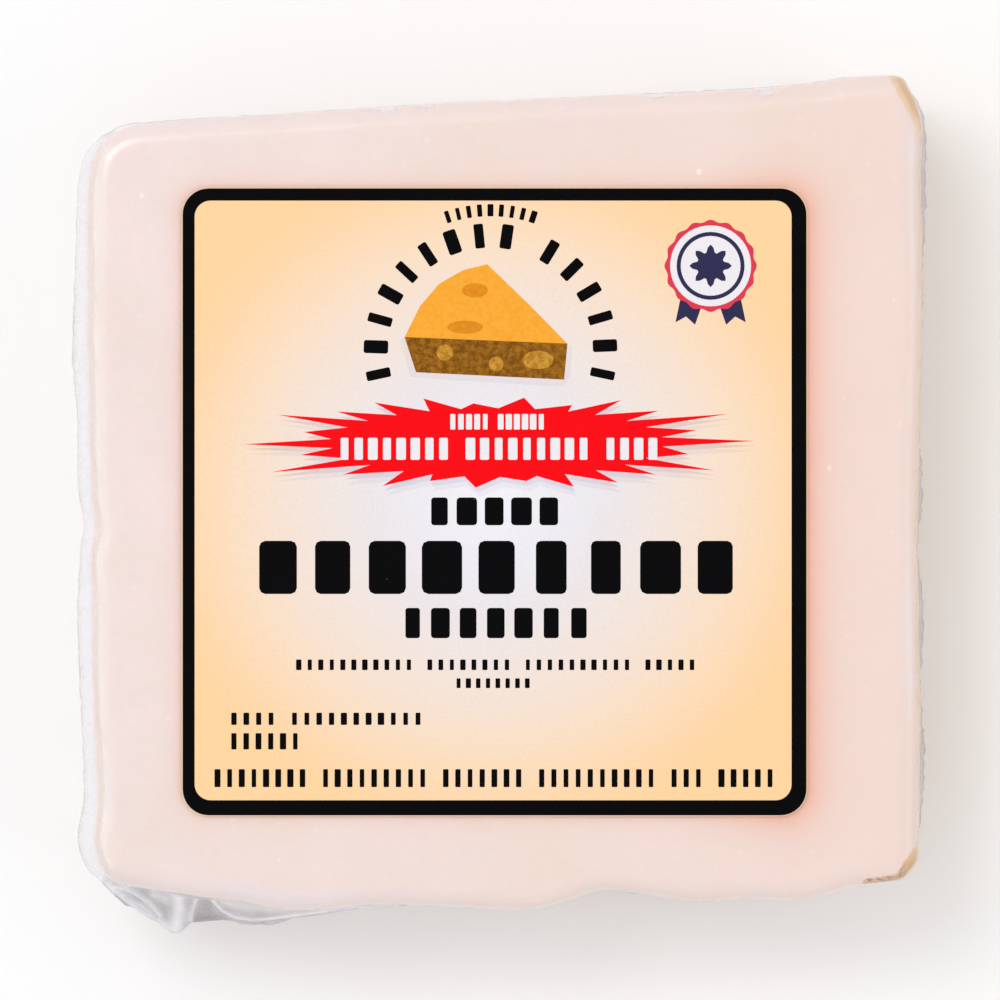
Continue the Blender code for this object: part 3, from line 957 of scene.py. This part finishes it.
def block_at(x, y, width, height, angle=0.0):
    """A plain block that stands for a letter: a rectangle with eased corners, turned by angle."""
    radius = 0.16 * min(width, height)
    flat = rounded_box(-width / 2, -height / 2, width / 2, height / 2, radius, steps=2)
    c, s = math.cos(angle), math.sin(angle)
    return [(x + c * u - s * v, y + s * u + c * v) for u, v in flat]


def row(left, right, low, high, words, fill, rng):
    """Plain blocks that stand for a line of words, each with this many letters."""
    units = sum(words) + 0.9 * (len(words) - 1)
    pitch = (right - left) / units
    blocks, at = [], left
    for letters in words:
        for _ in range(letters):
            width = pitch * fill * rng.uniform(0.78, 1.12)
            blocks.append(block_at(at + pitch / 2, (low + high) / 2, width, high - low))
            at += pitch
        at += 0.9 * pitch
    return blocks


def arched_row(radius, height, start, stop, letters, fill, rng):
    """Plain blocks that stand for letters on an arch, from the angle start to stop, in degrees."""
    x, y = ARCH_MIDDLE
    pitch = (stop - start) / letters
    blocks = []
    for k in range(letters):
        angle = math.radians(start + (k + 0.5) * pitch)
        width = abs(math.radians(pitch)) * radius * fill * rng.uniform(0.75, 1.15)
        place = (x + radius * math.cos(angle), y + radius * math.sin(angle))
        blocks.append(block_at(*place, width, height, angle - math.pi / 2))
    return blocks


# The flash's tips, in mm from its middle: long thin spikes to its sides, and short teeth above and below.
FLASH_TIPS = [
    (31.4, 0.2), (24.4, 1.5), (28.2, 3.5), (19.8, 3.9), (15.2, 5.2), (9.2, 4.6), (3.3, 5.5), (-2.9, 4.8),
    (-9.0, 5.4), (-15.0, 4.9), (-19.6, 3.8), (-26.8, 3.4), (-23.6, 1.3), (-31.0, -0.2), (-24.0, -1.5),
    (-27.6, -3.6), (-18.8, -3.9), (-14.0, -5.3), (-8.2, -4.7), (-2.6, -5.5), (3.6, -4.7), (9.4, -5.4),
    (14.8, -4.9), (19.4, -3.9), (26.6, -3.4), (23.4, -1.4),
]
FLASH_BODY = (20.4, 4.2)  # half width and half height of the ellipse its valleys lie on


def flash(x, y):
    """A flat jagged flash of colour."""
    outline = []
    for (ax, ay), (bx, by) in zip(FLASH_TIPS, FLASH_TIPS[1:] + FLASH_TIPS[:1]):
        wide, high = FLASH_BODY
        between = Vector((ax / 28 + bx / 28, ay / 5.3 + by / 5.3)).normalized()
        outline += [(x + ax, y + ay), (x + wide * between.x, y + high * between.y)]
    return outline


def emblem():
    """A plain wedge of cheese with holes: (ink, outline) from the back to the front."""
    top = [(-11.0, 20.2), (8.9, 19.4), (4.2, 24.2), (-0.9, 29.1), (-3.8, 28.4), (-6.8, 26.7), (-9.1, 24.0)]
    side = [(-11.0, 20.2), (-9.6, 15.9), (8.5, 15.0), (8.9, 19.4)]
    shadow = [(-11.6, 20.0), (-10.3, 15.3), (8.4, 14.1), (9.3, 15.4), (9.5, 19.0)]
    shapes = [("ground_shade", shadow), ("ink_ochre", side), ("ink_yellow", top)]
    shapes += [("ink_gold", disc(x, y, radius, 18)) for x, y, radius in ((-6.1, 18.3, 1.0), (0.2, 16.9, 0.9))]
    shapes.append(("ink_gold", disc(5.3, 17.4, 1.9, 20, squash=0.6)))
    shapes.append(("ink_amber", disc(-2.4, 25.9, 1.6, 20, squash=0.55)))
    shapes.append(("ink_amber", disc(-3.6, 21.4, 2.2, 20, squash=0.36)))
    return shapes


def seal(x, y):
    """A plain round seal with two ribbon tails, from the back to the front."""
    shapes = []
    for side in (-1, 1):
        tail = [(x + side * 0.6, y - 3.5), (x + side * 3.4, y - 2.6), (x + side * 4.3, y - 6.9),
                (x + side * 3.0, y - 6.2), (x + side * 1.9, y - 7.2)]
        shapes.append(("ink_navy", tail if side < 0 else tail[::-1]))
    shapes.append(("ink_rose", disc(x, y, 5.5, 96, 0.028, 16)))
    for ink, radius in (("ink_white", 4.95), ("ink_navy", 4.15), ("ink_white", 3.65)):
        shapes.append((ink, disc(x, y, radius, 48)))
    shapes.append(("ink_navy", disc(x, y, 2.1, 40, 0.24, 8)))
    return shapes


# The blocks on arches: (radius, height, start, stop, letters, fill).
ARCH_MIDDLE = (-0.5, 18.6)
ARCHES = [(14.0, 3.0, 199, 75, 9, 0.42), (14.0, 3.0, 66, -19, 6, 0.40), (17.1, 1.5, 110, 70, 9, 0.50)]
# The blocks in rows: (left, right, low, high, letters in each word, fill).
BLACK_ROWS = [
    (-8.4, 8.3, -2.8, 0.6, (5,), 0.76),
    (-29.8, 30.3, -11.2, -4.7, (9,), 0.68),
    (-11.7, 12.0, -16.6, -12.9, (7,), 0.62),
    (-24.6, 24.8, -20.5, -19.2, (11, 8, 10, 5), 0.46),
    (-5.0, 4.6, -22.7, -21.5, (8,), 0.52),
    (-32.6, -8.6, -27.2, -25.7, (4, 11), 0.48),
    (-32.6, -23.6, -30.2, -28.2, (6,), 0.47),
    (-34.6, 34.4, -34.8, -32.6, (8, 9, 7, 10, 3, 5), 0.47),
]
WHITE_ROWS = [(-5.6, 6.2, 8.9, 10.8, (5, 6), 0.72), (-19.2, 20.2, 5.2, 7.9, (8, 9, 4), 0.62)]


def print_shapes():
    """The printed fields as (ink, outline), from the lowest to the topmost."""
    rng = random.Random(8)
    left, low, right, high = -38.22, -38.35, 38.22, 38.47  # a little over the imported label's edges
    shapes = [("paper", rounded_box(left, low, right, high, LABEL_CORNER / MM, 10))]
    rim = 0.1
    black = rounded_box(left + rim, low + rim, right - rim, high - rim, LABEL_CORNER / MM - rim, 10)
    shapes.append(("ink_black", black))
    ground = rounded_box(left + 1.57, low + 1.95, right - 1.93, high - 1.60, 1.95, 10)
    shapes.append(("ground", ground))
    shapes += emblem()
    black = [block for arch in ARCHES for block in arched_row(*arch, rng)]
    black += [block for line in BLACK_ROWS for block in row(*line, rng)]
    shapes += [("ink_black", outline) for outline in black]
    # The red flash, over its two soft shadows.
    for ink, x, y in (("ground_shade", 0.7, 6.1), ("ground_shadow", 0.5, 6.7), ("ink_red", 0.3, 7.3)):
        shapes.append((ink, flash(x, y)))
    shapes += [("ink_white", block) for line in WHITE_ROWS for block in row(*line, rng)]
    shapes += seal(26.4, 28.9)
    return shapes


# Each ink's colour, and a second one that mottles it.
INKS = {
    "ink_white": ((240, 236, 240), None),
    "ink_red": ((251, 12, 22), None),
    "ink_yellow": ((252, 176, 62), (243, 160, 44)),
    "ink_amber": ((232, 148, 36), (214, 130, 28)),
    "ink_ochre": ((122, 76, 18), (168, 112, 34)),
    "ink_gold": ((176, 120, 34), (214, 160, 66)),
    "ink_navy": ((50, 48, 84), None),
    "ink_rose": ((226, 62, 84), None),
}


def label_materials():
    materials = {
        "paper": print_material("label_paper", (246, 214, 176)),
        "ground": ground_material("label_ground"),
        "ground_shade": ground_material("label_shade", (0.93, 0.92, 0.95)),
        "ground_shadow": ground_material("label_shadow", (0.82, 0.80, 0.86)),
        "ink_black": print_material("ink_black", (7, 6, 8), fleck=0.5),
    }
    materials.update((ink, print_material(ink, *colours)) for ink, colours in INKS.items())
    return materials


def signed_area(outline):
    """Twice the area inside an outline, and less than 0 if it runs clockwise."""
    return sum(ax * by - bx * ay for (ax, ay), (bx, by) in zip(outline, outline[1:] + outline[:1]))


def printed_areas(shapes):
    """The sheet in triangles that keep to the printed outlines: points, triangles, and the topmost shape
    that each triangle is in."""
    points, faces = [], []
    for _, outline in shapes:
        if signed_area(outline) < 0:
            outline = outline[::-1]
        faces.append(list(range(len(points), len(points) + len(outline))))
        points += [Vector(p) for p in outline]
    half = LABEL_HALF / MM - LABEL_GRID_MARGIN
    count = round(2 * half * MM / LABEL_GRID)
    ticks = [-half + 2 * half * k / count for k in range(count + 1)]
    for x in ticks:
        for y in ticks:
            past_x, past_y = (max(abs(place) - LABEL_GRID_CORNER, 0) for place in (x, y))
            if math.hypot(past_x, past_y) < LABEL_GRID_ROUND:
                points.append(Vector((x, y)))
    found, _, triangles, _, _, sources = delaunay_2d_cdt(points, [], faces, 0, 1e-5, True)
    kept = [(tri, max(source)) for tri, source in zip(triangles, sources) if source]
    return found, [tri for tri, _ in kept], [top for _, top in kept]


def make_label():
    shapes = print_shapes()
    materials = label_materials()
    slots = list(materials)
    flat, triangles, tops = printed_areas(shapes)
    places = np.array([(LABEL_MIDDLE.x + p.x * MM, LABEL_MIDDLE.y + p.y * MM, 0.0) for p in flat])
    places[:, 2] = [face_height(x, y) + LABEL_LIFT for x, y, _ in places]
    places[:, 2] += relief(places, np.array([0.0, 0.0, 1.0]))
    over = (places + np.array([0.0, 0.0, LABEL_THICKNESS])).tolist()
    under = places.tolist()
    count = len(flat)
    faces = [tuple(tri) for tri in triangles]
    faces += [tuple(count + i for i in reversed(tri)) for tri in triangles]
    directed = {(a, b) for tri in triangles for a, b in zip(tri, tri[1:] + tri[:1])}
    border = [(a, b) for a, b in directed if (b, a) not in directed]
    faces += [(b, a, count + a, count + b) for a, b in sorted(border)]
    mesh = bpy.data.meshes.new("sheet")
    mesh.from_pydata(over + under, [], faces)
    indices = [slots.index(shapes[top][0]) for top in tops] + [0] * (len(triangles) + len(border))
    mesh.polygons.foreach_set("material_index", indices)
    mesh.shade_smooth()
    mesh.set_sharp_from_angle(angle=math.radians(40))
    return placed("sheet", mesh, *materials.values())


# ---- floor, lights and camera


def make_floor():
    mesh = bpy.data.meshes.new("floor")
    corners = [(x * FLOOR_HALF, y * FLOOR_HALF, 0) for x, y in ((-1, -1), (1, -1), (1, 1), (-1, 1))]
    mesh.from_pydata(corners, [], [(0, 1, 2, 3)])
    floor = placed("floor", mesh, floor_material())
    floor.location.z = -FLOOR_DROP


def area_light(name, place, size, power, colour):
    """A square soft light aimed at the block."""
    light = bpy.data.lights.new(name, "AREA")
    light.size = size
    light.energy = power
    light.color = colour
    lamp = bpy.data.objects.new(name, light)
    lamp.location = place
    aim = Vector((0, 0, BLOCK_HIGH.z)) - Vector(place)
    lamp.rotation_euler = aim.to_track_quat("-Z", "Y").to_euler()
    bpy.context.scene.collection.objects.link(lamp)


def light_scene():
    world = bpy.data.worlds.new("studio")
    world.use_nodes = True
    background = world.node_tree.nodes["Background"]
    background.inputs["Color"].default_value = (1, 1, 1, 1)
    background.inputs["Strength"].default_value = WORLD_STRENGTH
    bpy.context.scene.world = world
    for light in LIGHTS:
        area_light(*light)
    bpy.context.scene.view_settings.view_transform = "Standard"


def add_camera():
    data = bpy.data.cameras.new("camera")
    data.lens = LENS
    data.sensor_width = SENSOR
    data.clip_end = 20
    camera = bpy.data.objects.new("camera", data)
    camera.location = (*VIEW_MIDDLE, BLOCK_HIGH.z + VIEW_WIDTH * LENS / SENSOR)
    bpy.context.scene.collection.objects.link(camera)
    bpy.context.scene.camera = camera


# ---- the scene

PIECES = (
    (make_cheese, "cheese_block", "cheese"),
    (make_film, "film_margin", "film"),
    (make_label, "label", "label"),
)
for make, node, slot in PIECES:
    piece = make()
    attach(piece, "root")
    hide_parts(node)
make_floor()
light_scene()
add_camera()
